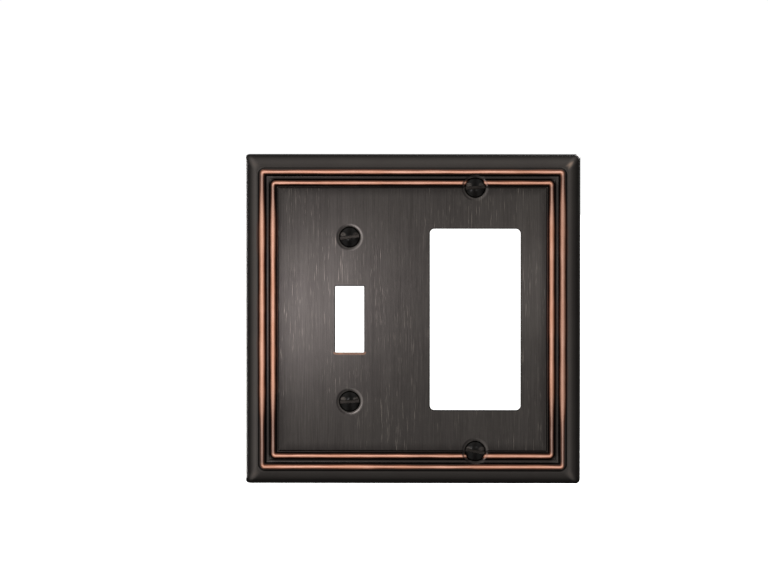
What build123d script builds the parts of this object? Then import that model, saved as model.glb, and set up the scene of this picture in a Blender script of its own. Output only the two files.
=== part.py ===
"""Two-gang wall plate cover: a toggle opening and a decorator opening side by side.

The plate is one thin-walled metal casting with a hollow back. Four oval-head screws hold it to
the two devices in the wall box. Each screw is its own piece and backs out along its own axis.

Frame: +X right, +Z up, the front faces -Y. The wall's surface is the plane Y = 0 and the origin
is the middle of the plate on that plane, so a height above the wall is a distance along -Y.
All sizes are in millimetres.
"""

import os
from math import asin, cos, radians, sin, tan

from build123d import *

# ---------------------------------------------------------------- outline and border
PLATE_W, PLATE_H = 123.0, 121.0  # outside size
PLATE_CORNER = 1.7  # corner radius of the outline
THROUGH = 10.0  # reach of a cut that passes right through the plate
CLEAR = 3.0  # how far a cut runs on beyond the face it opens
LIP = 0.9  # upright outer edge that meets the wall
SHOULDER_W = 4.45  # width of the rounded shoulder, from the outline inwards
SHOULDER_FALL = 0.3  # width of the slope from the shoulder's inner edge down to the floor
SHOULDER_MID = (1.35, 3.85)  # a point on the shoulder's curve: inset and height
SHOULDER_TOP = 5.5  # height of the shoulder's inner edge
FLOOR = 5.2  # height of the border's floor, between and beside the beads
BEAD_TURN = 1.6  # radius of each bead's centre line as it turns the corner
# each bead is a round moulding: inset from the outline, height of its centre, radius
BEADS = ((6.35, 5.30, 1.55), (10.38, 5.40, 1.30))

# ---------------------------------------------------------------- flat middle
FIELD = 5.6  # height of the flat middle
FIELD_INSET = 12.2  # where it begins
FIELD_CORNER = 0.6

# ---------------------------------------------------------------- hollow back
RIM = 1.5  # width of the rim that bears on the wall
RIM_STRAIGHT = 1.2  # upright part of the hollow's side
CEILING = 4.1  # height of the hollow's flat ceiling
CEILING_INSET = 3.6  # inset of the ceiling's edge from the outline
HOLLOW_CORNER = 0.5
GROOVE_R, GROOVE_H = 0.8, 4.3  # relief groove cored out behind each bead
BOSS_R = 5.2  # thickening behind each screw hole
BOSS_BACK = 2.2  # height of the boss's back face
BOSS_ROOT = 5.15  # the boss runs up into the wall as far as this

# ---------------------------------------------------------------- openings
GANG = 46.04  # spacing of the two devices
TOGGLE_X, DECORATOR_X = -GANG / 2, GANG / 2
TOGGLE_W, TOGGLE_H, TOGGLE_CORNER = 10.9, 24.6, 0.5
DECORATOR_W, DECORATOR_H, DECORATOR_CORNER = 33.3, 66.8, 1.7
OPENING_EDGE = 0.3  # softened front edge of both openings

# ---------------------------------------------------------------- screw seats
TOGGLE_PITCH = 60.325  # spacing of the toggle device's two screws
DECORATOR_PITCH = 96.84  # spacing of the decorator device's two screws
HALF_ANGLE = radians(41)  # 82 degree countersink
SEAT_R = 4.1  # radius of the countersink's cone where it meets the flat middle
HOLE_R = 1.95
LIP_DEPTH = 0.35  # depth of the softened mouth
TOGGLE_MOUTH, DECORATOR_MOUTH = 4.6, 4.3  # radius of the softened mouth

# ---------------------------------------------------------------- screws
HEAD_R = 3.55
RIM_H = 5.05  # height of the rim's lower edge above the wall
RIM_T = 0.15  # thickness of the head's rim
DOME = 1.1  # rise of the oval top
NECK_R = 1.5  # plain neck between head and thread
SCREW_R = 1.7525  # outside of the number 6 thread
THREAD_TOP = 1.9  # height at which the thread starts, just behind the boss
SCREW_L = 19.05  # length from the rim to the point
POINT = 0.5  # chamfer at the point
SLOT_W, SLOT_DEPTH = 1.1, 1.3


def border_prism(plane, half, length, mode):
    """The border's section from one outer edge to the other, drawn out both ways along an edge.

    Points are (across, -height): the shoulder curves up from the lip to its inner edge and drops
    to the floor, and the floor runs level to the other side.
    """
    inner = half - SHOULDER_W
    foot = inner - SHOULDER_FALL
    with BuildSketch(plane) as section:
        with BuildLine():
            for s in (-1, 1):
                Line((s * half, 0), (s * half, -LIP))
                ThreePointArc(
                    (s * half, -LIP),
                    (s * (half - SHOULDER_MID[0]), -SHOULDER_MID[1]),
                    (s * inner, -SHOULDER_TOP),
                )
                Line((s * inner, -SHOULDER_TOP), (s * foot, -FLOOR))
            Line((-foot, -FLOOR), (foot, -FLOOR))
            Line((-half, 0), (half, 0))
        make_face()
    extrude(section.sketch, amount=length, both=True, mode=mode)


def band(inset, height, radius, mode):
    """A round moulding or groove that follows the outline at one inset and height."""
    with BuildSketch(Plane.XZ.offset(height)) as course:
        RectangleRounded(PLATE_W - 2 * inset, PLATE_H - 2 * inset, BEAD_TURN)
    path = course.sketch.face().outer_wire()
    with BuildSketch(Plane(origin=path @ 0, z_dir=path % 0)) as section:
        Circle(radius)
    sweep(section.sketch, path=path, mode=mode)


def screw_seat(x, z, mouth):
    """Through hole, 82 degree countersink, softened mouth, and a clear bore above the mouth."""
    cone_h = FIELD - LIP_DEPTH  # where the mouth's curve runs into the cone
    cone_r = SEAT_R - LIP_DEPTH * tan(HALF_ANGLE)
    hole_h = FIELD - (SEAT_R - HOLE_R) / tan(HALF_ANGLE)
    with BuildSketch(Plane(origin=(x, 0, z), z_dir=(0, 0, 1))) as section:
        with BuildLine():
            Polyline(
                (0, CLEAR),
                (HOLE_R, CLEAR),
                (HOLE_R, -hole_h),
                (cone_r, -cone_h),
                (mouth, -FIELD),
                (mouth, -FIELD - CLEAR),
                (0, -FIELD - CLEAR),
                (0, CLEAR),
            )
        make_face()
    revolve(section.sketch, axis=Axis((x, 0, z), (0, 1, 0)), mode=Mode.SUBTRACT)


def oval_head_screw(x, z, tilt):
    """A slotted oval-head screw in its seat; tilt turns the slot, right end up when positive."""
    rim = RIM_H + RIM_T
    top = rim + DOME
    dome_r = (HEAD_R**2 + DOME**2) / (2 * DOME)
    half = asin(HEAD_R / dome_r) / 2
    neck_h = RIM_H - (HEAD_R - NECK_R) / tan(HALF_ANGLE)
    tip = RIM_H - SCREW_L
    with BuildPart() as screw:
        with BuildSketch(Plane(origin=(x, 0, z), z_dir=(0, 0, 1))):
            with BuildLine():
                ThreePointArc(
                    (0, -top), (dome_r * sin(half), dome_r * (1 - cos(half)) - top), (HEAD_R, -rim)
                )
                Polyline(
                    (HEAD_R, -rim),
                    (HEAD_R, -RIM_H),
                    (NECK_R, -neck_h),
                    (NECK_R, -THREAD_TOP),
                    (SCREW_R, -THREAD_TOP),
                    (SCREW_R, -tip - POINT),
                    (SCREW_R - POINT, -tip),
                    (0, -tip),
                    (0, -top),
                )
            make_face()
        revolve(axis=Axis((x, 0, z), (0, 1, 0)))
        across = (cos(radians(tilt)), 0, sin(radians(tilt)))
        with BuildSketch(Plane(origin=(x, -top, z), x_dir=across, z_dir=(0, 1, 0))):
            Rectangle(3 * HEAD_R, SLOT_W)
        extrude(amount=SLOT_DEPTH, mode=Mode.SUBTRACT)
    return screw


# ================================================================ the plate
with BuildPart() as face_plate:
    # the rounded shoulder: two prisms that meet in a mitre at each corner
    border_prism(Plane.XY, PLATE_W / 2, PLATE_H, Mode.ADD)
    upright = Plane(origin=(0, 0, 0), x_dir=(0, 0, 1), z_dir=(-1, 0, 0))
    border_prism(upright, PLATE_H / 2, PLATE_W, Mode.INTERSECT)
    reach = PLATE_CORNER + CLEAR
    with BuildSketch(Plane.XZ):
        for across in (-1, 1):
            for up in (-1, 1):
                turn = (across * (PLATE_W / 2 - PLATE_CORNER), up * (PLATE_H / 2 - PLATE_CORNER))
                with Locations((turn[0] + across * reach / 2, turn[1] + up * reach / 2)):
                    Rectangle(reach, reach)
                with Locations(turn):
                    Circle(PLATE_CORNER, mode=Mode.SUBTRACT)
    extrude(amount=THROUGH, mode=Mode.SUBTRACT)

    # the flat middle, raised a little above the border's floor
    with BuildSketch(Plane.XZ.offset(FLOOR - 1)):
        RectangleRounded(PLATE_W - 2 * FIELD_INSET, PLATE_H - 2 * FIELD_INSET, FIELD_CORNER)
    extrude(amount=FIELD - FLOOR + 1)

    # the two beads of the border
    for inset, height, radius in BEADS:
        band(inset, height, radius, Mode.ADD)

    # the hollow back: an upright side behind the rim, then a slope that follows the shoulder
    with BuildSketch(Plane.XZ):
        RectangleRounded(PLATE_W - 2 * RIM, PLATE_H - 2 * RIM, HOLLOW_CORNER)
    extrude(amount=RIM_STRAIGHT, mode=Mode.SUBTRACT)
    for height, inset in ((RIM_STRAIGHT, RIM), (CEILING, CEILING_INSET)):
        with BuildSketch(Plane.XZ.offset(height)):
            RectangleRounded(PLATE_W - 2 * inset, PLATE_H - 2 * inset, HOLLOW_CORNER)
    loft(mode=Mode.SUBTRACT)
    for inset, _, _ in BEADS:
        band(inset, GROOVE_H, GROOVE_R, Mode.SUBTRACT)

    # a boss behind each screw hole gives the countersink its depth
    with BuildSketch(Plane.XZ.offset(BOSS_BACK)):
        with Locations((TOGGLE_X, TOGGLE_PITCH / 2), (TOGGLE_X, -TOGGLE_PITCH / 2)):
            Circle(BOSS_R)
        with Locations((DECORATOR_X, DECORATOR_PITCH / 2), (DECORATOR_X, -DECORATOR_PITCH / 2)):
            Circle(BOSS_R)
    extrude(amount=BOSS_ROOT - BOSS_BACK)

    # the four screw seats; the decorator's two break through the inner bead
    for side in (1, -1):
        screw_seat(TOGGLE_X, side * TOGGLE_PITCH / 2, TOGGLE_MOUTH)
        screw_seat(DECORATOR_X, side * DECORATOR_PITCH / 2, DECORATOR_MOUTH)

    # the two openings, with a softened front edge
    with BuildSketch(Plane.XZ):
        with Locations((TOGGLE_X, 0)):
            RectangleRounded(TOGGLE_W, TOGGLE_H, TOGGLE_CORNER)
        with Locations((DECORATOR_X, 0)):
            RectangleRounded(DECORATOR_W, DECORATOR_H, DECORATOR_CORNER)
    extrude(amount=THROUGH, mode=Mode.SUBTRACT)
    front = face_plate.faces().filter_by(Axis.Y).filter_by_position(Axis.Y, -FIELD - 0.01, -FIELD + 0.01)
    opening_wires = front.sort_by(SortBy.AREA)[-1].inner_wires().sort_by(SortBy.LENGTH)[-2:]
    fillet([e for w in opening_wires for e in w.edges()], radius=OPENING_EDGE)

# ================================================================ the screws
toggle_screw_upper = oval_head_screw(TOGGLE_X, TOGGLE_PITCH / 2, 8.0)
toggle_screw_lower = oval_head_screw(TOGGLE_X, -TOGGLE_PITCH / 2, 4.0)
decorator_screw_upper = oval_head_screw(DECORATOR_X, DECORATOR_PITCH / 2, 4.0)
decorator_screw_lower = oval_head_screw(DECORATOR_X, -DECORATOR_PITCH / 2, -10.0)

# ================================================================ labels and files
face_plate.part.label = "face_plate"
toggle_screw_upper.part.label = "toggle_screw_upper"
toggle_screw_lower.part.label = "toggle_screw_lower"
decorator_screw_upper.part.label = "decorator_screw_upper"
decorator_screw_lower.part.label = "decorator_screw_lower"

os.makedirs("parts", exist_ok=True)
export_step(face_plate.part, "parts/face_plate.step")
export_step(toggle_screw_upper.part, "parts/toggle_screw_upper.step")
export_step(toggle_screw_lower.part, "parts/toggle_screw_lower.step")
export_step(decorator_screw_upper.part, "parts/decorator_screw_upper.step")
export_step(decorator_screw_lower.part, "parts/decorator_screw_lower.step")
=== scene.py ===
import math

import bmesh
import bpy
from mathutils import Euler, Matrix, Vector


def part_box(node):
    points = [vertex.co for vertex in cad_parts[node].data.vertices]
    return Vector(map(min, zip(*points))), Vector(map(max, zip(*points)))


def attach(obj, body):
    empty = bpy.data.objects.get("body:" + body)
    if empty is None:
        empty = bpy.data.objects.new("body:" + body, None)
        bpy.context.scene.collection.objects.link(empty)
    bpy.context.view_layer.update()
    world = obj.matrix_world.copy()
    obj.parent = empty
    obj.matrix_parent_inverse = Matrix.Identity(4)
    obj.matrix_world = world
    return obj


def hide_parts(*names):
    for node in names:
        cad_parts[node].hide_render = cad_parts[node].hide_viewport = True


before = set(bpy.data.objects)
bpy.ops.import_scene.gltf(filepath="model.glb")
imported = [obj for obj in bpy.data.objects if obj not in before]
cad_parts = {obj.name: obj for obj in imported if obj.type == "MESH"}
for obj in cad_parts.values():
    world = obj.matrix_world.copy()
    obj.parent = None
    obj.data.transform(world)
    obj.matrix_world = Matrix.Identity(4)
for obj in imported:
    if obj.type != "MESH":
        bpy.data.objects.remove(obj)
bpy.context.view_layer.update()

# --------------------------------------------------------------------------------------------
# Face plate, shape: one zinc die casting, open at the back, with a rounded shoulder and two
# round beads along its edge, two openings and four countersunk seats. Its rim bears on the wall.
# Profiles are points of (inset from the outline, height above the wall, corner radius) in mm.
# --------------------------------------------------------------------------------------------
MM = 0.001
plate_low, plate_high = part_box("face_plate")
HALF_W = (plate_high.x - plate_low.x) / 2 / MM
HALF_H = (plate_high.z - plate_low.z) / 2 / MM
CORNERS = ((1, 1), (-1, 1), (-1, -1), (1, -1))
SCREWS = {  # the middle of each screw
    f"{device}_screw_{end}": sum(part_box(f"{device}_screw_{end}"), Vector()) / 2 / MM
    for device in ("toggle", "decorator")
    for end in ("upper", "lower")
}
TOGGLE = (5.3, 12.2, 0.35, SCREWS["toggle_screw_upper"].x)  # half width, half height, corner, middle
DECORATOR = (16.6, 33.25, 1.7, SCREWS["decorator_screw_upper"].x)
OUTLINE_CORNER, SHOULDER_CORNER, SHOULDER_W = 1.7, 2.5, 4.45
FLOOR, FIELD = 5.2, 5.6  # heights of the border's floor and of the flat middle
BEAD_TURN = 1.0  # radius of each bead's crest as it turns the corner
BEADS = ((6.35, 5.30, 1.55), (10.38, 5.40, 1.30))  # inset, height of the middle, radius
CEILING = 4.1  # height of the hollow's ceiling
GROOVE_R, GROOVE_H = 0.8, 4.3  # relief groove behind each bead
HOLE_R, SEAT_R = 1.95, 4.1  # screw hole, and the countersink's radius at the flat middle's height
SEAT_SLOPE = math.tan(math.radians(41))


def arc(centre, radius, start, end, steps):
    """Points (inset, height) along an arc; degrees are from straight inwards, rising outwards."""
    turns = [math.radians(start + (end - start) * i / steps) for i in range(steps + 1)]
    return [(centre[0] + radius * math.cos(t), centre[1] + radius * math.sin(t)) for t in turns]


def made(name, bm):
    """The object for a finished bmesh, its faces pointing outwards."""
    bmesh.ops.remove_doubles(bm, verts=bm.verts, dist=1e-7)
    bmesh.ops.recalc_face_normals(bm, faces=bm.faces)
    mesh = bpy.data.meshes.new(name)
    bm.to_mesh(mesh)
    bm.free()
    obj = bpy.data.objects.new(name, mesh)
    bpy.context.scene.collection.objects.link(obj)
    return obj


def shell(name, course, steps=12):
    """A closed shell: a rounded rectangle stepped through (half width, half height, corner, height)."""
    bm = bmesh.new()
    half_w, half_h, corner, level = course[0]
    ends = []
    for turn, (sx, sz) in enumerate(CORNERS):
        centre = Vector((sx * (half_w - corner), -level, sz * (half_h - corner)))
        out = Matrix.Rotation(turn * math.pi / 2, 3, Vector((0, -1, 0))) @ Vector((corner, 0, 0))
        first = bm.verts.new(centre + out)
        spun = bmesh.ops.spin(
            bm, geom=[first], cent=centre, axis=(0, -1, 0), angle=math.pi / 2, steps=steps
        )
        ends.append((first, spun["geom_last"][0]))
    for here, after in zip(ends, ends[1:] + ends[:1]):
        bm.edges.new((here[1], after[0]))
    loop = bm.edges[:]
    bmesh.ops.edgeloop_fill(bm, edges=loop)
    for now, then in zip(course, course[1:]):
        grown = bmesh.ops.extrude_edge_only(bm, edges=loop)["geom"]
        verts = [g for g in grown if isinstance(g, bmesh.types.BMVert)]
        fresh = set(verts)
        loop = [g for g in grown if isinstance(g, bmesh.types.BMEdge) and fresh.issuperset(g.verts)]
        for sx, sz in CORNERS:
            group = [v for v in verts if v.co.x * sx > 0 and v.co.z * sz > 0]
            old = Vector((sx * (now[0] - now[2]), -now[3], sz * (now[1] - now[2])))
            new = Vector((sx * (then[0] - then[2]), -then[3], sz * (then[1] - then[2])))
            ratio = then[2] / now[2]
            bmesh.ops.scale(bm, vec=(ratio, 1, ratio), space=Matrix.Translation(-old), verts=group)
            bmesh.ops.translate(bm, vec=new - old, verts=group)
    bmesh.ops.edgeloop_fill(bm, edges=loop)
    bmesh.ops.scale(bm, vec=(MM, MM, MM), verts=bm.verts)
    return made(name, bm)


def turned(name, profile, at=(0, 0), steps=72):
    """A closed shell turned about a front-to-back axis from points (radius, height above the wall)."""
    bm = bmesh.new()
    rim = [bm.verts.new((radius, -level, 0)) for radius, level in profile]
    edges = [bm.edges.new(pair) for pair in zip(rim, rim[1:])]
    bmesh.ops.spin(
        bm, geom=rim + edges, cent=(0, 0, 0), axis=(0, 1, 0), angle=2 * math.pi, steps=steps, use_merge=True
    )
    bmesh.ops.remove_doubles(bm, verts=bm.verts, dist=1e-5)
    bmesh.ops.translate(bm, vec=(at[0], 0, at[1]), verts=bm.verts)
    bmesh.ops.scale(bm, vec=(MM, MM, MM), verts=bm.verts)
    return made(name, bm)


def carve(body, tool, operation="DIFFERENCE", weld=1e-6):
    """Cuts one closed shell with another, or joins them, and throws the tool away."""
    cut = body.modifiers.new("cut", "BOOLEAN")
    cut.operation, cut.solver, cut.object = operation, "EXACT", tool
    cut.material_mode = "TRANSFER"
    graph = bpy.context.evaluated_depsgraph_get()
    done = bpy.data.meshes.new_from_object(body.evaluated_get(graph))
    body.modifiers.clear()
    body.data = done
    bpy.data.objects.remove(tool)
    bm = bmesh.new()
    bm.from_mesh(done)
    bmesh.ops.remove_doubles(bm, verts=bm.verts, dist=weld)
    bmesh.ops.dissolve_degenerate(bm, edges=bm.edges, dist=weld)
    bm.to_mesh(done)
    bm.free()


def inset_course(points):
    """Turns points of (inset, height, corner) into steps for shell()."""
    return [(HALF_W - inset, HALF_H - inset, corner, level) for inset, level, corner in points]


bronze = bpy.data.materials.new("rubbed_bronze")
as_cast = bpy.data.materials.new("as_cast_back")

# the front: shoulder, shallow dip, outer bead, valley, inner bead, crevice, flat middle
front = [(0.15, 0.0, 1.55), (0.04, 0.05, 1.66), (0.0, 0.18, OUTLINE_CORNER), (0.0, 0.9, OUTLINE_CORNER)]
for inset, level in arc((5.294, 0.261), 5.333, 172.0, 102.0, 16):
    front.append((inset, level, OUTLINE_CORNER + (SHOULDER_CORNER - OUTLINE_CORNER) * inset / SHOULDER_W))
front += [(4.38, 5.50, 2.51), (4.52, 5.50, 2.53), (4.66, 5.52, 2.55), (4.76, 5.57, 2.56)]
front += [(4.83, 5.65, 2.55)]
valley = [(7.90, 5.44), (7.97, 5.31), (8.10, 5.22), (8.28, FLOOR), (8.80, FLOOR), (8.95, 5.26)]
valley += [(9.04, 5.38)]
crevice = [(11.70, 5.42), (11.78, 5.28), (11.92, FLOOR)]
for (bead_inset, bead_level, bead_r), (start, end), after in zip(
    BEADS, ((164, 12), (172, 8)), (valley, crevice)
):
    over = arc((bead_inset, bead_level), bead_r, start, end, 24)
    for inset, level in over + after:
        front.append((inset, level, max(0.12, BEAD_TURN + bead_inset - inset)))
front += [(12.05, 5.21, 0.3), (12.15, 5.28, 0.4), (12.24, 5.42, 0.5), (12.34, 5.53, 0.6)]
front += [(12.48, 5.585, 0.7), (12.7, FIELD, 0.8), (13.2, FIELD, 1.0)]
plate = shell("face_plate_cast", inset_course(front))
plate.data.materials.append(bronze)

# the hollow back, with a relief groove behind each bead, a boss behind each screw, and the faint
# round marks of the pins that push the casting out of its die
hollow = [(1.3, -1.0, 0.7), (1.5, 0.12, 0.5), (1.52, 1.1, 0.5), (1.6, 1.35, 0.55), (3.3, 3.75, 0.9)]
hollow += [(3.5, 3.95, 1.0), (3.8, 4.08, 1.1), (4.3, CEILING, 1.2)]
for bead_inset, _, _ in BEADS:
    hollow.append((bead_inset - GROOVE_R - 0.3, CEILING, 2.0))
    for inset, level in arc((bead_inset, GROOVE_H), GROOVE_R, 185, -5, 12):
        hollow.append((inset, level, BEAD_TURN + bead_inset - inset))
    hollow.append((bead_inset + GROOVE_R + 0.3, CEILING, 0.6))
hollow.append((14.0, CEILING, 1.0))
void = shell("hollow_tool", inset_course(hollow))
void.data.materials.append(as_cast)
boss = [(0, 2.2), (4.7, 2.2), (4.95, 2.27), (5.08, 2.5), (5.2, 3.7), (5.35, 3.95), (5.7, 4.08)]
boss += [(6.2, CEILING), (6.2, 4.6), (5.4, 5.15), (0, 5.15)]
for middle in SCREWS.values():
    carve(void, turned("boss_tool", boss, (middle.x, middle.z)))
pin = [(0, 3.9), (1.5, 3.9), (1.5, 4.19), (1.42, 4.22), (0, 4.22)]
for at in ((-45, 45), (-45, 0), (-45, -45), (-5, 44), (-5, 0), (-5, -44), (45, 43), (45, 0), (45, -43)):
    carve(void, turned("pin_tool", pin, at, 32), "UNION")
carve(plate, void)

# the two openings, softened at the front and the back
wall = [(0.25, -1), (0.25, 4.08), (0.12, 4.14), (0.03, 4.24), (0.0, 4.4), (0.0, 5.28), (0.03, 5.42)]
wall += [(0.1, 5.53), (0.22, 5.59), (0.34, 5.61), (0.34, 9)]
for half_w, half_h, corner, x in (TOGGLE, DECORATOR):
    course = [(half_w + flare, half_h + flare, corner + flare, level) for flare, level in wall]
    tool = shell("opening_tool", course)
    tool.data.transform(Matrix.Translation((x * MM, 0, 0)))
    tool.data.materials.append(bronze)
    carve(plate, tool)

# the four screw seats: a through hole, an 82 degree countersink and a softened mouth
for name, middle in SCREWS.items():
    mouth = 4.85 if name.startswith("toggle") else 4.6
    seat = [(0, -1), (HOLE_R, -1)]
    seat += [(radius, FIELD - (SEAT_R - radius) / SEAT_SLOPE) for radius in (HOLE_R, 3.79)]
    seat += [(3.88, 5.33), (4.02, 5.42), (4.22, 5.50), (4.45, 5.555), (mouth, FIELD + 0.004)]
    seat += [(mouth + 0.02, 9), (0, 9)]
    tool = turned("seat_tool", seat, (middle.x, middle.z))
    tool.data.materials.append(bronze)
    carve(plate, tool)

plate.data.shade_smooth()
plate.data.set_sharp_from_angle(angle=math.radians(38))
plate.modifiers.new("flat faces keep their shading", "WEIGHTED_NORMAL").keep_sharp = True
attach(plate, "plate")
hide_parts("face_plate")

# --------------------------------------------------------------------------------------------
# Face plate, finish: plated, blackened to an aged bronze, brushed upright on the flat middle,
# and rubbed back to copper along the crests of the two beads. The hollow back stays as cast.
# Points inside these materials are in mm from the middle of the plate.
# --------------------------------------------------------------------------------------------
FLAT_INSET = 12.3  # where the brushed flat begins


def shade(tree, kind, inputs=(), **options):
    """One shader node. Its inputs go in order: a socket is linked, a value is set, None is left."""
    node = tree.nodes.new(kind)
    for key, value in options.items():
        setattr(node, key, value)
    for place, value in enumerate(inputs):
        if isinstance(value, bpy.types.NodeSocket):
            tree.links.new(value, node.inputs[place])
        elif value is not None:
            node.inputs[place].default_value = value
    return node


def calc(tree, operation, *inputs):
    """One sum on numbers."""
    return shade(tree, "ShaderNodeMath", inputs, operation=operation).outputs[0]


def times(tree, first, *factors):
    """The product of two or more numbers."""
    for factor in factors:
        first = calc(tree, "MULTIPLY", first, factor)
    return first


def ease(tree, value, low, high, start=0.0, end=1.0):
    """Runs smoothly from start to end while the value goes from low to high."""
    return shade(
        tree, "ShaderNodeMapRange", (value, low, high, start, end), interpolation_type="SMOOTHSTEP"
    ).outputs[0]


def split(tree, vector):
    """A vector's three parts, by letter."""
    return shade(tree, "ShaderNodeSeparateXYZ", (vector,)).outputs


def folded(tree, point):
    """The point with its signs dropped, so that all four quarters of the plate are alike."""
    return shade(tree, "ShaderNodeVectorMath", (point,), operation="ABSOLUTE").outputs[0]


def from_spot(tree, point, x, z=0.0):
    """The point as measured from a spot on the plate."""
    return shade(tree, "ShaderNodeVectorMath", (point, (x, 0, z)), operation="SUBTRACT").outputs[0]


def tint(tree, factor, first, second):
    """Mixes two colours."""
    node = shade(tree, "ShaderNodeMix", (factor,), data_type="RGBA", blend_type="MIX")
    for place, value in ((6, first), (7, second)):
        if isinstance(value, bpy.types.NodeSocket):
            tree.links.new(value, node.inputs[place])
        else:
            node.inputs[place].default_value = (*value, 1)
    return node.outputs[2]


def grain(tree, point, scale, detail=3.0, roughness=0.55):
    """Noise whose grain is one over the scale, in mm, along each axis."""
    stretched = shade(tree, "ShaderNodeVectorMath", (point, scale), operation="MULTIPLY").outputs[0]
    noise = shade(tree, "ShaderNodeTexNoise", (stretched,))
    noise.inputs["Scale"].default_value = 1.0
    noise.inputs["Detail"].default_value = detail
    noise.inputs["Roughness"].default_value = roughness
    return noise.outputs[0]


def effect(name, takes, gives):
    """An empty node group, with its inputs' and outputs' sockets; names in capitals are vectors."""
    tree = bpy.data.node_groups.new(name, "ShaderNodeTree")
    for way, names in (("INPUT", takes), ("OUTPUT", gives)):
        for label in names:
            kind = "NodeSocketVector" if label.isupper() else "NodeSocketFloat"
            tree.interface.new_socket(name=label, in_out=way, socket_type=kind)
    return tree, tree.nodes.new("NodeGroupInput").outputs, tree.nodes.new("NodeGroupOutput").inputs


def placed(tree, group, *inputs):
    """Places a finished node group and returns its outputs."""
    node = shade(tree, "ShaderNodeGroup", node_tree=group)
    for place, value in enumerate(inputs):
        if isinstance(value, bpy.types.NodeSocket):
            tree.links.new(value, node.inputs[place])
        else:
            node.inputs[place].default_value = value
    return node.outputs


def finish_for(material):
    """The material's node tree, its shader, and the point in mm."""
    material.use_nodes = True
    tree = material.node_tree
    where = tree.nodes.new("ShaderNodeTexCoord").outputs["Object"]
    point = shade(tree, "ShaderNodeVectorMath", (where,), operation="SCALE")
    point.inputs["Scale"].default_value = 1 / MM
    return tree, tree.nodes["Principled BSDF"].inputs, point.outputs[0]


def raised(tree, shader, height, strength, relief):
    """Gives the surface a fine relief, in mm, from a height between 0 and 1."""
    bump = shade(tree, "ShaderNodeBump")
    bump.inputs["Strength"].default_value = strength
    bump.inputs["Distance"].default_value = relief * MM
    tree.links.new(height, bump.inputs["Height"])
    tree.links.new(bump.outputs["Normal"], shader["Normal"])


# how far a point lies outside a rounded rectangle, in the plane of the wall
outside, take, give = effect(
    "outside_rounded_rectangle", ("POINT", "half width", "half height", "corner"), ("distance",)
)
parts = split(outside, folded(outside, take["POINT"]))
past_x = calc(outside, "ADD", calc(outside, "SUBTRACT", parts["X"], take["half width"]), take["corner"])
past_z = calc(outside, "ADD", calc(outside, "SUBTRACT", parts["Z"], take["half height"]), take["corner"])
round_x, round_z = calc(outside, "MAXIMUM", past_x, 0.0), calc(outside, "MAXIMUM", past_z, 0.0)
square = calc(outside, "ADD", times(outside, round_x, round_x), times(outside, round_z, round_z))
within = calc(outside, "MINIMUM", calc(outside, "MAXIMUM", past_x, past_z), 0.0)
total = calc(outside, "ADD", calc(outside, "SQRT", square), within)
outside.links.new(calc(outside, "SUBTRACT", total, take["corner"]), give["distance"])

# the rubbing along one bead: wide halfway up the two uprights, narrow along the top and bottom
rubbed, take, give = effect(
    "rubbed_bead",
    ("POINT", "inset", "upright width", "level width", "outer soot", "right fade"),
    ("bright", "copper", "fringe", "soot", "paler", "streaked", "upright"),
)
half_w = calc(rubbed, "SUBTRACT", HALF_W, take["inset"])
half_h = calc(rubbed, "SUBTRACT", HALF_H, take["inset"])
away = placed(rubbed, outside, take["POINT"], half_w, half_h, BEAD_TURN)["distance"]
near = calc(rubbed, "ABSOLUTE", away)
place = split(rubbed, take["POINT"])
parts = split(rubbed, folded(rubbed, take["POINT"]))
lead_x, lead_z = calc(rubbed, "SUBTRACT", parts["X"], half_w), calc(rubbed, "SUBTRACT", parts["Z"], half_h)
upright = ease(rubbed, calc(rubbed, "SUBTRACT", lead_x, lead_z), 0.0, 1.8)
level = calc(rubbed, "SUBTRACT", 1.0, upright)
height = calc(rubbed, "ABSOLUTE", calc(rubbed, "SUBTRACT", place["Z"], 5.0))
middle_part = ease(rubbed, calc(rubbed, "DIVIDE", height, half_h), 0.50, 0.95, 1.0, 0.0)


def lengthwise(fine, slow, detail, roughness):
    """Noise drawn out along whichever side of the bead the point is on."""
    side = grain(rubbed, take["POINT"], (fine, fine, slow), detail, roughness)
    rail = grain(rubbed, take["POINT"], (slow, fine, fine), detail, roughness)
    return calc(rubbed, "ADD", times(rubbed, side, upright), times(rubbed, rail, level))


upright_w = times(rubbed, take["upright width"], ease(rubbed, middle_part, 0.0, 1.0, 0.42, 1.0))
spread = calc(rubbed, "ADD", times(rubbed, upright, upright_w), times(rubbed, level, take["level width"]))
waver = grain(rubbed, take["POINT"], (0.07, 0.07, 0.07), 2.0)
spread = times(rubbed, spread, ease(rubbed, waver, 0.3, 0.7, 0.86, 1.12))
wander = times(rubbed, calc(rubbed, "SUBTRACT", lengthwise(3.6, 0.10, 3.0, 0.6), 0.5), 0.6)
off = calc(rubbed, "DIVIDE", calc(rubbed, "ADD", near, wander), spread)
right_side = times(rubbed, ease(rubbed, place["X"], 40.0, 46.0), take["right fade"])
paler = calc(rubbed, "MAXIMUM", calc(rubbed, "SUBTRACT", 1.0, middle_part), right_side)
beside = ease(rubbed, near, 1.25, 2.0, 1.0, 0.0)
inner_soot = times(rubbed, beside, ease(rubbed, away, 0.0, 0.8, 1.0, 0.0))
outer_soot = times(rubbed, beside, take["outer soot"])
for label, value in (
    ("bright", ease(rubbed, off, 0.05, 0.95, 1.0, 0.0)),
    ("copper", ease(rubbed, off, 0.55, 1.30, 1.0, 0.0)),
    ("fringe", ease(rubbed, off, 1.0, 1.9, 1.0, 0.0)),
    ("soot", calc(rubbed, "MAXIMUM", inner_soot, outer_soot)),
    ("paler", times(rubbed, upright, paler)),
    ("streaked", ease(rubbed, lengthwise(2.4, 0.07, 2.0, 0.7), 0.40, 0.66)),
    ("upright", upright),
):
    rubbed.links.new(value, give[label])

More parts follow.
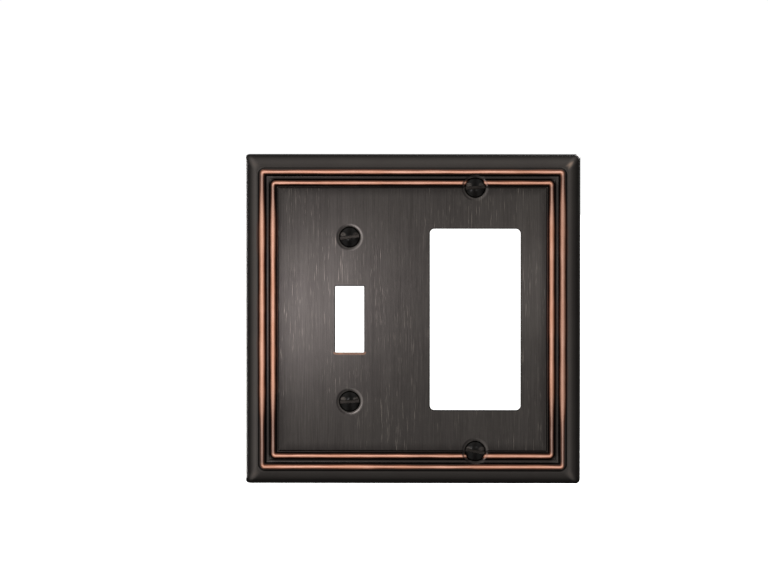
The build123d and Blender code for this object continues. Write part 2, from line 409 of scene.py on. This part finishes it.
# slow, cloudy change of tone, and a fine skin that breaks up reflections
clouded, take, give = effect("clouded_skin", ("POINT", "size"), ("tone", "skin"))
spot = shade(clouded, "ShaderNodeVectorMath", (take["POINT"],), operation="SCALE")
clouded.links.new(take["size"], spot.inputs["Scale"])
slow = grain(clouded, spot.outputs[0], (0.09, 0.09, 0.09), 4.0)
clouded.links.new(ease(clouded, slow, 0.3, 0.7), give["tone"])
clouded.links.new(grain(clouded, spot.outputs[0], (2.2, 2.2, 2.2), 3.0), give["skin"])

# the front: bronze all over, brushed and scratched on the flat middle
tree, shader, point = finish_for(bronze)
parts = split(tree, point)
cloud = placed(tree, clouded, point, 1.0)
inner = placed(tree, outside, point, HALF_W - FLAT_INSET, HALF_H - FLAT_INSET, 0.6)["distance"]
flat = ease(tree, inner, -0.3, 0.1, 1.0, 0.0)

strokes = grain(tree, point, (9.0, 1.0, 0.10), 3.0, 0.6)
streaks = grain(tree, point, (2.6, 1.0, 0.05), 3.0, 0.6)
bands = grain(tree, point, (0.35, 1.0, 0.012), 2.0)
brushed = times(
    tree,
    ease(tree, streaks, 0.25, 0.75, 0.90, 1.10),
    ease(tree, bands, 0.3, 0.7, 0.96, 1.04),
    ease(tree, strokes, 0.25, 0.75, 0.88, 1.12),
)
scratch = ease(tree, grain(tree, point, (5.0, 1.0, 0.12), 2.0), 0.63, 0.73)
where = ease(tree, grain(tree, point, (0.07, 1.0, 0.05), 1.0), 0.40, 0.60, 0.15, 1.0)
scratch = times(tree, scratch, where, flat)

bronze_tone = tint(tree, cloud["tone"], (0.059, 0.053, 0.051), (0.064, 0.058, 0.055))
flat_tone = shade(tree, "ShaderNodeVectorMath", (bronze_tone,), operation="SCALE")
tree.links.new(brushed, flat_tone.inputs["Scale"])
colour = tint(tree, flat, bronze_tone, flat_tone.outputs[0])
shadowed = times(tree, ease(tree, inner, -3.6, 0.0, 0.0, 0.42), flat)
colour = tint(tree, shadowed, colour, (0.012, 0.010, 0.010))
colour = tint(tree, times(tree, scratch, 0.75), colour, (0.24, 0.21, 0.19))

# each bead: soot left beside it, then its brown fringe, then bare copper along the crest
worn = 0.0
for (bead_inset, _, _), widths in zip(BEADS, ((1.12, 0.62, 0.25, 0.45), (1.05, 0.56, 1.0, 0.0))):
    bead = placed(tree, rubbed, point, bead_inset, *widths)
    colour = tint(tree, times(tree, bead["soot"], 0.85), colour, (0.016, 0.010, 0.008))
    colour = tint(tree, times(tree, bead["fringe"], 0.8), colour, (0.085, 0.033, 0.022))
    metal = tint(tree, cloud["tone"], (0.82, 0.45, 0.33), (0.94, 0.58, 0.46))
    metal = tint(tree, times(tree, bead["upright"], 0.30), metal, (0.36, 0.20, 0.12))
    metal = tint(tree, times(tree, bead["streaked"], 0.5), metal, (0.52, 0.26, 0.16))
    metal = tint(tree, bead["bright"], (0.27, 0.110, 0.064), metal)
    dull = tint(tree, bead["bright"], (0.085, 0.045, 0.035), (0.40, 0.275, 0.235))
    metal = tint(tree, times(tree, bead["paler"], 0.88), metal, dull)
    colour = tint(tree, bead["copper"], colour, metal)
    worn = calc(tree, "MAXIMUM", worn, bead["copper"])
valley = times(tree, ease(tree, inner, 3.0, 3.3), ease(tree, inner, 4.2, 4.6, 0.4, 0.0))
colour = tint(tree, valley, colour, (0.020, 0.017, 0.016))

# the seats: painted shade inside them, and around each mouth painted shade on its left and a painted
# highlight on its right
above_wall = times(tree, parts["Y"], -1.0)
# painted shade: whatever lies sunk below the flat middle, inside the seats and on the openings' walls, is
# darkened
sunk_shade = times(tree, ease(tree, above_wall, 4.85, 5.45, 0.92, 0.0), flat)
colour = tint(tree, sunk_shade, colour, (0.010, 0.009, 0.009))
for name, middle in SCREWS.items():
    off = from_spot(tree, point, middle.x, middle.z)
    across = split(tree, off)["X"]
    mouth = calc(tree, "ABSOLUTE", placed(tree, outside, off, 4.6, 4.6, 4.6)["distance"])
    mouth = ease(tree, mouth, 0.15, 0.6, 1.0, 0.0)
    # painted shade on the left side of each seat's mouth
    shaded_left = times(tree, mouth, ease(tree, across, -3.5, 0.5, 0.7, 0.0))
    colour = tint(tree, shaded_left, colour, (0.016, 0.014, 0.014))
    # painted highlight on the right side of each seat's mouth, stronger on the toggle's seats
    highlit_right = ease(tree, across, -1.0, 3.0, 0.0, 0.8 if name.startswith("toggle") else 0.3)
    colour = tint(tree, times(tree, mouth, highlit_right), colour, (0.150, 0.136, 0.130))

# the openings: their walls and lips darkened; the toggle's lower edge is rubbed bare
for half_w, half_h, corner, x in (TOGGLE, DECORATOR):
    edge = placed(tree, outside, from_spot(tree, point, x), half_w, half_h, corner)["distance"]
    colour = tint(tree, ease(tree, edge, 0.05, 0.55, 0.85, 0.0), colour, (0.014, 0.012, 0.012))
    if x == TOGGLE[3]:
        low = ease(tree, parts["Z"], -half_h - 0.1, -half_h + 0.4, 1.0, 0.0)
        patchy = ease(tree, grain(tree, point, (0.5, 0.5, 1.4), 2.0), 0.35, 0.65, 0.45, 1.0)
        low = times(tree, low, ease(tree, edge, 0.35, 1.0, 1.0, 0.0), patchy)
        colour = tint(tree, low, colour, (0.34, 0.19, 0.135))
        worn = calc(tree, "MAXIMUM", worn, low)

# the shoulder's mitres are rubbed faintly, the upper right one most
reach = split(tree, folded(tree, point))
seam = calc(tree, "ADD", calc(tree, "SUBTRACT", reach["Z"], reach["X"]), HALF_W - HALF_H)
outer = placed(tree, outside, point, HALF_W, HALF_H, OUTLINE_CORNER)["distance"]
corner = times(tree, ease(tree, parts["X"], 50.0, 54.0), ease(tree, parts["Z"], 50.0, 54.0))
rub_and_glint = times(
    tree,
    ease(tree, calc(tree, "ABSOLUTE", seam), 0.0, 1.6, 1.0, 0.0),
    ease(tree, outer, -4.8, -3.6),
    ease(tree, outer, -3.4, -2.0, 1.0, 0.0),
    ease(tree, corner, 0.0, 1.0, 0.05, 0.6),
)
colour = tint(tree, rub_and_glint, colour, (0.34, 0.25, 0.20))

tree.links.new(colour, shader["Base Color"])
shader["Metallic"].default_value = 1.0
rough = calc(tree, "ADD", ease(tree, strokes, 0.2, 0.8, 0.30, 0.37), times(tree, worn, 0.24))
tree.links.new(rough, shader["Roughness"])
height = times(tree, calc(tree, "ADD", strokes, times(tree, streaks, 0.5)), flat)
height = calc(tree, "ADD", height, times(tree, cloud["skin"], 0.35))
raised(tree, shader, height, 0.6, 0.03)

# the hollow back: dull grey-brown, flowed and pitted
tree, shader, point = finish_for(as_cast)
cloud = placed(tree, clouded, point, 1.6)
flow = grain(tree, point, (0.07, 0.07, 0.10), 4.0, 0.55)
pits = ease(tree, grain(tree, point, (1.6, 1.6, 1.6), 2.0), 0.62, 0.74)
colour = tint(tree, ease(tree, flow, 0.3, 0.7), (0.19, 0.172, 0.160), (0.25, 0.232, 0.218))
colour = tint(tree, times(tree, cloud["tone"], 0.3), colour, (0.12, 0.096, 0.080))
colour = tint(tree, times(tree, pits, 0.6), colour, (0.04, 0.034, 0.03))
tree.links.new(colour, shader["Base Color"])
shader["Metallic"].default_value = 0.85
tree.links.new(ease(tree, cloud["skin"], 0.2, 0.8, 0.42, 0.62), shader["Roughness"])
raised(tree, shader, calc(tree, "SUBTRACT", times(tree, cloud["skin"], 0.6), pits), 0.7, 0.06)

# --------------------------------------------------------------------------------------------
# Screws: four slotted oval-head steel screws, number 6 with 32 threads to the inch, lacquered
# near-black over bronze. Each rests in its countersink and turns into the device in the wall.
# --------------------------------------------------------------------------------------------
HEAD_R, RIM_LEVEL, TOP = 3.55, 5.2, 6.3
NECK_R, THREAD_R, ROOT_R, PITCH = 1.48, 1.75, 1.31, 0.79375
THREAD_START, TIP = 1.9, -14.0
TURNS, STEPS = 23, 36  # turns of thread, and steps in each turn
SLOT_W, SLOT_FLOOR = 1.1, 5.02

dome_r = (HEAD_R**2 + (TOP - RIM_LEVEL) ** 2) / (2 * (TOP - RIM_LEVEL))
spread = math.degrees(math.asin((HEAD_R - 0.06) / dome_r))
head = arc((0.0, TOP - dome_r), dome_r, 90, 90 - spread, 14)
head[0] = (0.0, TOP)
head += [(3.535, 5.185), (3.55, 5.15), (3.55, 5.10), (3.53, 5.06)]
cone_r = HEAD_R - 0.03
for i in range(1, 9):
    radius = cone_r - (cone_r - 1.66) * i / 8
    head.append((radius, 5.05 - (HEAD_R - 0.02 - radius) / SEAT_SLOPE))
head += [(1.55, 2.74), (1.49, 2.6), (NECK_R, 2.45), (NECK_R, 1.2), (1.2, 1.0), (0.0, 1.0)]
screw = turned("screw", head, steps=96)
lacquer = bpy.data.materials.new("black_lacquer")
slot_metal = bpy.data.materials.new("driven_slot")
screw.data.materials.append(lacquer)

# the slot, its lips slightly rounded
bm = bmesh.new()
bmesh.ops.create_cube(bm, size=1.0)
bmesh.ops.scale(bm, vec=(9 * MM, 2 * MM, SLOT_W * MM), verts=bm.verts)
bmesh.ops.translate(bm, vec=(0, -(SLOT_FLOOR + 1) * MM, 0), verts=bm.verts)
slot = made("slot_tool", bm)
slot.data.materials.append(slot_metal)
carve(screw, slot, weld=1e-8)
bm = bmesh.new()
bm.from_mesh(screw.data)
lips = [
    e for e in bm.edges
    if len(e.link_faces) == 2
    and e.calc_face_angle() > 0.9
    and all(abs(abs(v.co.z) - SLOT_W / 2 * MM) < 2e-6 for v in e.verts)
    and all(-v.co.y > (SLOT_FLOOR + 0.2) * MM for v in e.verts)
    and all(math.hypot(v.co.x, v.co.z) < (HEAD_R - 0.1) * MM for v in e.verts)
]
bmesh.ops.bevel(bm, geom=lips, offset=0.06 * MM, segments=2, profile=0.5, affect="EDGES", material=-1)
bm.to_mesh(screw.data)
bm.free()

# the thread: one turn's profile, spun along the axis, then shaped at both ends
bm = bmesh.new()
row = [(0.0, ROOT_R), (0.198, ROOT_R), (0.446, THREAD_R), (0.545, THREAD_R), (PITCH, ROOT_R)]
start_y = -THREAD_START - 1.5 * PITCH
verts = [bm.verts.new((radius, start_y + along, 0)) for along, radius in row]
edges = [bm.edges.new(pair) for pair in zip(verts, verts[1:])]
bmesh.ops.spin(
    bm, geom=verts + edges, cent=(0, 0, 0), axis=(0, 1, 0), angle=2 * math.pi * TURNS, steps=STEPS * TURNS,
    dvec=(0, PITCH / STEPS, 0),
)
bmesh.ops.remove_doubles(bm, verts=bm.verts, dist=1e-4)
for level in (-THREAD_START + 0.1, -TIP + 0.2):
    cut = bmesh.ops.bisect_plane(
        bm, geom=bm.verts[:] + bm.edges[:] + bm.faces[:], dist=1e-6, plane_co=(0, level, 0),
        plane_no=(0, 1 if level > 0 else -1, 0), clear_outer=True,
    )["geom_cut"]
    bmesh.ops.edgeloop_fill(bm, edges=[g for g in cut if isinstance(g, bmesh.types.BMEdge)])
bmesh.ops.scale(bm, vec=(MM, MM, MM), verts=bm.verts)
thread = made("thread", bm)
thread.data.materials.append(lacquer)
stock = [(0, 1.75), (1.35, 1.75), (1.76, 1.1), (1.76, TIP + 0.5), (1.26, TIP), (0, TIP)]
carve(thread, turned("stock_tool", stock, steps=48), "INTERSECT", weld=1e-8)
carve(screw, thread, "UNION", weld=1e-8)

# the lacquer: near-black and glossy on the head, worn to brown steel on the thread
tree, shader, point = finish_for(lacquer)
cloud = placed(tree, clouded, point, 4.0)
on_head = ease(tree, times(tree, split(tree, point)["Y"], -1.0), 4.3, 4.9)
rings = grain(tree, point, (1.2, 6.0, 1.2), 2.0)
colour = tint(tree, cloud["tone"], (0.0025, 0.0022, 0.0022), (0.006, 0.0052, 0.005))
shank = tint(tree, ease(tree, rings, 0.35, 0.65), (0.10, 0.075, 0.055), (0.21, 0.165, 0.125))
colour = tint(tree, on_head, shank, colour)
specks = ease(tree, grain(tree, point, (5.0, 5.0, 5.0), 2.0), 0.68, 0.76)
colour = tint(tree, times(tree, specks, on_head, 0.3), colour, (0.06, 0.045, 0.038))
# noise that breaks up the painted highlights on the domes
glint_streaks = ease(tree, grain(tree, point, (1.3, 1.3, 5.5), 4.0, 0.7), 0.34, 0.66, 0.1, 1.0)
for middle in SCREWS.values():  # painted highlights on the crest, just above both ends of the slot, stronger on the left
    off = split(tree, from_spot(tree, point, middle.x, middle.z))
    along = calc(tree, "DIVIDE", calc(tree, "SUBTRACT", calc(tree, "ABSOLUTE", off["X"]), 2.35), 0.95)
    over = calc(tree, "DIVIDE", calc(tree, "SUBTRACT", off["Z"], 0.95), 0.75)
    reach = calc(tree, "ADD", times(tree, along, along), times(tree, over, over))
    spot = ease(tree, reach, 0.0, 1.9, 1.0, 0.0)
    rub_and_glint = times(tree, spot, ease(tree, off["X"], -1.0, 1.0, 0.95, 0.5), glint_streaks, on_head)
    colour = tint(tree, rub_and_glint, colour, (0.12, 0.105, 0.097))
tree.links.new(colour, shader["Base Color"])
tree.links.new(ease(tree, on_head, 0.0, 1.0, 1.0, 0.0), shader["Metallic"])
shader["Specular IOR Level"].default_value = 0.09
rough = calc(tree, "ADD", ease(tree, on_head, 0.0, 1.0, 0.40, 0.14), times(tree, cloud["tone"], 0.06))
tree.links.new(rough, shader["Roughness"])
raised(tree, shader, cloud["skin"], 0.4, 0.02)

# the slot, where the driver has rubbed the lacquer thin
tree, shader, point = finish_for(slot_metal)
cloud = placed(tree, clouded, point, 3.0)
drag = grain(tree, point, (0.5, 2.0, 6.0), 3.0)
colour = tint(tree, ease(tree, drag, 0.3, 0.7), (0.026, 0.023, 0.021), (0.056, 0.050, 0.046))
colour = tint(tree, times(tree, cloud["tone"], 0.5), colour, (0.012, 0.010, 0.010))
tree.links.new(colour, shader["Base Color"])
shader["Metallic"].default_value = 1.0
tree.links.new(ease(tree, cloud["skin"], 0.2, 0.8, 0.32, 0.46), shader["Roughness"])
raised(tree, shader, drag, 0.4, 0.02)

TILTS = (8, 4, 4, -10)  # each slot's tilt in degrees, right end up when positive
for (name, middle), tilt in zip(SCREWS.items(), TILTS):
    mesh = screw.data.copy()
    turn = Matrix.Rotation(math.radians(-tilt), 4, "Y")
    mesh.transform(Matrix.Translation((middle.x * MM, 0, middle.z * MM)) @ turn)
    piece = bpy.data.objects.new(name + "_threaded", mesh)
    bpy.context.scene.collection.objects.link(piece)
    mesh.shade_smooth()
    mesh.set_sharp_from_angle(angle=math.radians(32))
    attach(piece, name)
    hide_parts(name)
bpy.data.objects.remove(screw)

# --------------------------------------------------------------------------------------------
# Studio: white surroundings, a pale floor out of sight below, soft light that is strongest in
# front and left of the plate, and a long lens almost square on to it.
# --------------------------------------------------------------------------------------------
bm = bmesh.new()
bmesh.ops.create_grid(bm, x_segments=1, y_segments=1, size=4)
bmesh.ops.translate(bm, vec=(0, 0, plate_low.z - 0.04), verts=bm.verts)
floor = made("floor", bm)
pale = bpy.data.materials.new("pale_floor")
pale.use_nodes = True
shader = pale.node_tree.nodes["Principled BSDF"].inputs
shader["Base Color"].default_value = (0.95, 0.95, 0.95, 1)
shader["Emission Color"].default_value = (1, 1, 1, 1)
shader["Emission Strength"].default_value = 1.0
floor.data.materials.append(pale)
floor.visible_glossy = False
floor.visible_diffuse = False

# the surroundings, by direction: a soft wall ahead, a panel on each side, and a glow overhead
world = bpy.data.worlds.new("studio")
bpy.context.scene.world = world
world.use_nodes = True
tree = world.node_tree
towards = split(tree, tree.nodes.new("ShaderNodeTexCoord").outputs["Generated"])
x, y, z = towards["X"], towards["Y"], towards["Z"]
ahead = times(tree, ease(tree, y, -1.0, 0.5, 0.60, 0.12), ease(tree, z, -0.5, 0.3, 0.55, 1.0))
left = times(tree, ease(tree, x, -1.05, -0.5), ease(tree, x, -0.45, -0.10, 1.05, 0.0))
right = times(tree, ease(tree, x, 0.08, 0.32), ease(tree, x, 0.35, 0.85, 0.75, 0.0))
panels = times(tree, calc(tree, "ADD", left, right), ease(tree, y, -0.4, 0.0, 1.0, 0.0))
overhead = times(tree, ease(tree, z, 0.35, 0.95, 0.0, 0.42), ease(tree, y, 0.0, 0.4, 1.0, 0.0))
light = calc(tree, "ADD", calc(tree, "ADD", ahead, panels), overhead)
tree.links.new(light, tree.nodes["Background"].inputs["Strength"])
tree.nodes["Background"].inputs["Color"].default_value = (1, 0.985, 0.95, 1)
white = shade(tree, "ShaderNodeBackground", ((1, 1, 1, 1), 1.02)).outputs[0]
seen = tree.nodes.new("ShaderNodeLightPath").outputs["Is Camera Ray"]
both = shade(tree, "ShaderNodeMixShader", (seen, tree.nodes["Background"].outputs[0], white)).outputs[0]
tree.links.new(both, tree.nodes["World Output"].inputs["Surface"])

for name, place, width, height, roll, power, colour in (
    ("glow_left", (-0.044, -0.125, 0.0), 0.02, 0.045, -22, 0.027, (1, 0.965, 0.985)),
    ("glow_right", (0.040, -0.12, 0.008), 0.03, 0.02, 0, 0.006, (1, 0.985, 0.96)),
    ("behind_right", (0.5, 0.9, 0.5), 0.6, 0.6, 0, 15.0, (1, 1, 1)),
    ("behind_left", (-0.7, 0.8, 0.0), 0.6, 0.6, 0, 10.0, (1, 1, 1)),
):
    data = bpy.data.lights.new(name, "AREA")
    data.shape, data.size, data.size_y = "RECTANGLE", width, height
    data.energy, data.color = power, colour
    lamp = bpy.data.objects.new(name, data)
    lamp.location = place
    facing = (Vector((place[0] * 0.9, 0, place[2] * 0.5)) - Vector(place)).to_track_quat("-Z", "Y")
    lamp.rotation_euler = (facing @ Euler((0, 0, math.radians(roll))).to_quaternion()).to_euler()
    lamp.visible_camera = False
    bpy.context.scene.collection.objects.link(lamp)

DISTANCE = 3.0
FRAME_W = 0.28207  # how much of the wall the view takes in, from side to side
AIM = Vector((-0.01054, 0, 0.01129))  # the spot on the wall at the middle of the view
AZIMUTH, ELEVATION = math.radians(1.5), math.radians(2.5)
scene = bpy.context.scene
scene.view_settings.view_transform = "Standard"
lens = bpy.data.cameras.new("camera")
lens.lens = lens.sensor_width * DISTANCE / FRAME_W
lens.clip_end = 50
camera = bpy.data.objects.new("camera", lens)
scene.collection.objects.link(camera)
scene.camera = camera
along = math.cos(ELEVATION)
back = Vector((math.sin(AZIMUTH) * along, -math.cos(AZIMUTH) * along, math.sin(ELEVATION)))
camera.location = AIM + back * DISTANCE
camera.rotation_euler = (-back).to_track_quat("-Z", "Y").to_euler()
